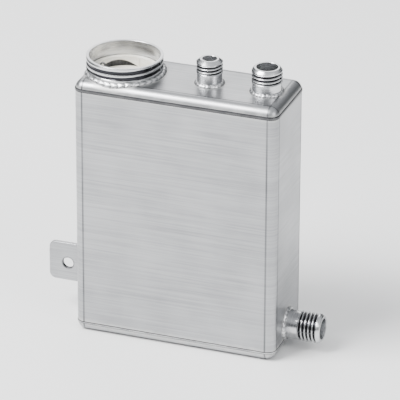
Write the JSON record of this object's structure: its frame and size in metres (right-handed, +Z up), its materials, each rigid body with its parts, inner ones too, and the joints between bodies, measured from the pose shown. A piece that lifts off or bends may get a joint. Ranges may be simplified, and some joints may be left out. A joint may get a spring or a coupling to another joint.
{
  "type": "hydraulic reservoir",
  "caption": "Slim welded aluminium oil tank with a wide threaded filler neck, two ports on top, one low on the side, and a bolt tab; its strainer basket lifts out.",
  "frame": {"origin": "middle of the tank's flat underside", "axes": "+Z up, +X towards the side port, -Y the front face"},
  "size_m": [0.2145, 0.0628, 0.22],
  "materials": {
    "tank_sheet": "satin, brushed sheet",
    "weld_bead": "rippled weld, dull between bright crests",
    "machined_aluminium": "turned, fine circular tool marks",
    "inner_sheet": "mill finish",
    "zinc_steel": "zinc plate, darkened by oil",
    "stainless_mesh": "woven wire",
    "natural_plastic": "moulded, natural white"
  },
  "bodies": {
    "tank": {"tank_body": "tank_sheet", "top_cap": "tank_sheet", "bottom_cap": "tank_sheet", "top_seam_weld": "weld_bead", "bottom_seam_weld": "weld_bead", "filler_neck": "machined_aluminium", "filler_neck_weld": "weld_bead", "return_port": "machined_aluminium", "return_port_weld": "weld_bead", "return_drop_tube": "inner_sheet", "vent_port": "machined_aluminium", "vent_port_weld": "weld_bead", "suction_port": "machined_aluminium", "suction_port_weld": "weld_bead", "mounting_tab": "tank_sheet", "mounting_tab_welds": "weld_bead", "baffle_shelf": "inner_sheet", "baffle_shelf_welds": "weld_bead", "suction_strainer_nut": "zinc_steel", "suction_strainer_core": "stainless_mesh", "suction_strainer_screen": "stainless_mesh", "suction_strainer_end_cap": "zinc_steel"},
    "filler_strainer": {"filler_strainer_frame": "natural_plastic", "filler_strainer_screen": "stainless_mesh", "filler_strainer_floor": "natural_plastic", "filler_strainer_lug": "zinc_steel"}
  },
  "joints": [
    {"name": "strainer_lift", "type": "slide", "parent": "tank", "child": "filler_strainer", "axis": [0, 0, 1], "range_m": [0, 0.06]}
  ]
}
